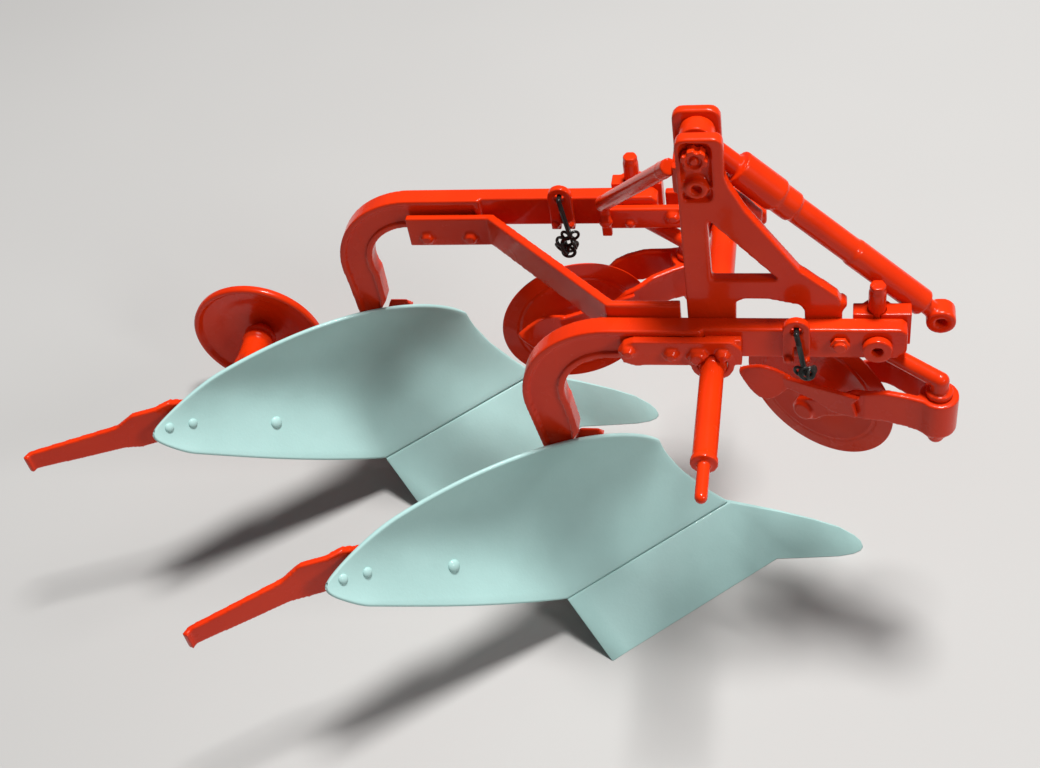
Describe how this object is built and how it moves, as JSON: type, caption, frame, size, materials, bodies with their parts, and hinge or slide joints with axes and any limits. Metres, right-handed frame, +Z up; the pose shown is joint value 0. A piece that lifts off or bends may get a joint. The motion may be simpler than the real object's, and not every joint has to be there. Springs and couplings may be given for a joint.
{
  "type": "toy mounted moldboard plough",
  "caption": "Die-cast scale model of a right-hand tractor-mounted moldboard plough, with swivelling disc coulters, a rear furrow wheel and a hinged top link.",
  "frame": {"origin": "on the table under the middle of the plough's own extents", "axes": "+X forward to the tractor, +Y to the left, +Z up"},
  "size_m": [0.1152, 0.0656, 0.0695],
  "materials": {
    "red_paint": "glossy orange-red paint on die-cast metal",
    "grey_paint": "satin blue-grey paint on die-cast metal",
    "black_wire": "black wire and chain"
  },
  "bodies": {
    "frame": {"beam_right": "red_paint", "beam_left": "red_paint", "frog_right": "red_paint", "frog_left": "red_paint", "landside_right": "red_paint", "landside_left": "red_paint", "share_right": "grey_paint", "share_left": "grey_paint", "mouldboard_right": "grey_paint", "mouldboard_left": "grey_paint", "tail_strap_right": "red_paint", "tail_strap_left": "red_paint", "beam_brace": "red_paint", "cross_shaft": "red_paint", "shaft_bracket_right": "red_paint", "shaft_bracket_left": "red_paint", "mast": "red_paint", "mast_pin": "red_paint", "mast_brace": "red_paint", "coulter_block_right": "red_paint", "coulter_block_left": "red_paint", "coulter_shank_right": "red_paint", "coulter_shank_left": "red_paint", "beam_clamp_right": "red_paint", "beam_clamp_left": "red_paint", "chain_right": "black_wire", "chain_left": "black_wire", "wheel_bracket": "red_paint"},
    "top_link": {"top_link": "red_paint"},
    "rear_wheel": {"rear_wheel": "red_paint"},
    "coulter_right": {"coulter_yoke_right": "red_paint", "jointer_right": "red_paint"},
    "disc_right": {"coulter_disc_right": "red_paint"},
    "coulter_left": {"coulter_yoke_left": "red_paint", "jointer_left": "red_paint"},
    "disc_left": {"coulter_disc_left": "red_paint"}
  },
  "joints": [
    {"name": "top_link_hinge", "type": "hinge", "parent": "frame", "child": "top_link", "pos_m": [0.03058, 0.00139, 0.0672], "axis": [0, -1, 0], "range_deg": [0, 170]},
    {"name": "rear_wheel_spin", "type": "hinge", "parent": "frame", "child": "rear_wheel", "pos_m": [-0.03942, 0.03004, 0.01], "axis": [0, 1, 0], "continuous": true},
    {"name": "coulter_swivel_right", "type": "hinge", "parent": "frame", "child": "coulter_right", "pos_m": [0.05548, -0.00626, 0.0352], "axis": [0, 0, 1], "range_deg": [0, 46]},
    {"name": "disc_spin_right", "type": "hinge", "parent": "coulter_right", "child": "disc_right", "pos_m": [0.04274, 0.00066, 0.0308], "axis": [0.4772, 0.8788, 0], "continuous": true},
    {"name": "coulter_swivel_left", "type": "hinge", "parent": "frame", "child": "coulter_left", "pos_m": [0.02698, 0.01594, 0.0352], "axis": [0, 0, 1], "range_deg": [-44, 8]},
    {"name": "disc_spin_left", "type": "hinge", "parent": "coulter_left", "child": "disc_left", "pos_m": [0.01308, 0.01182, 0.0308], "axis": [-0.284, 0.9588, 0], "continuous": true}
  ]
}
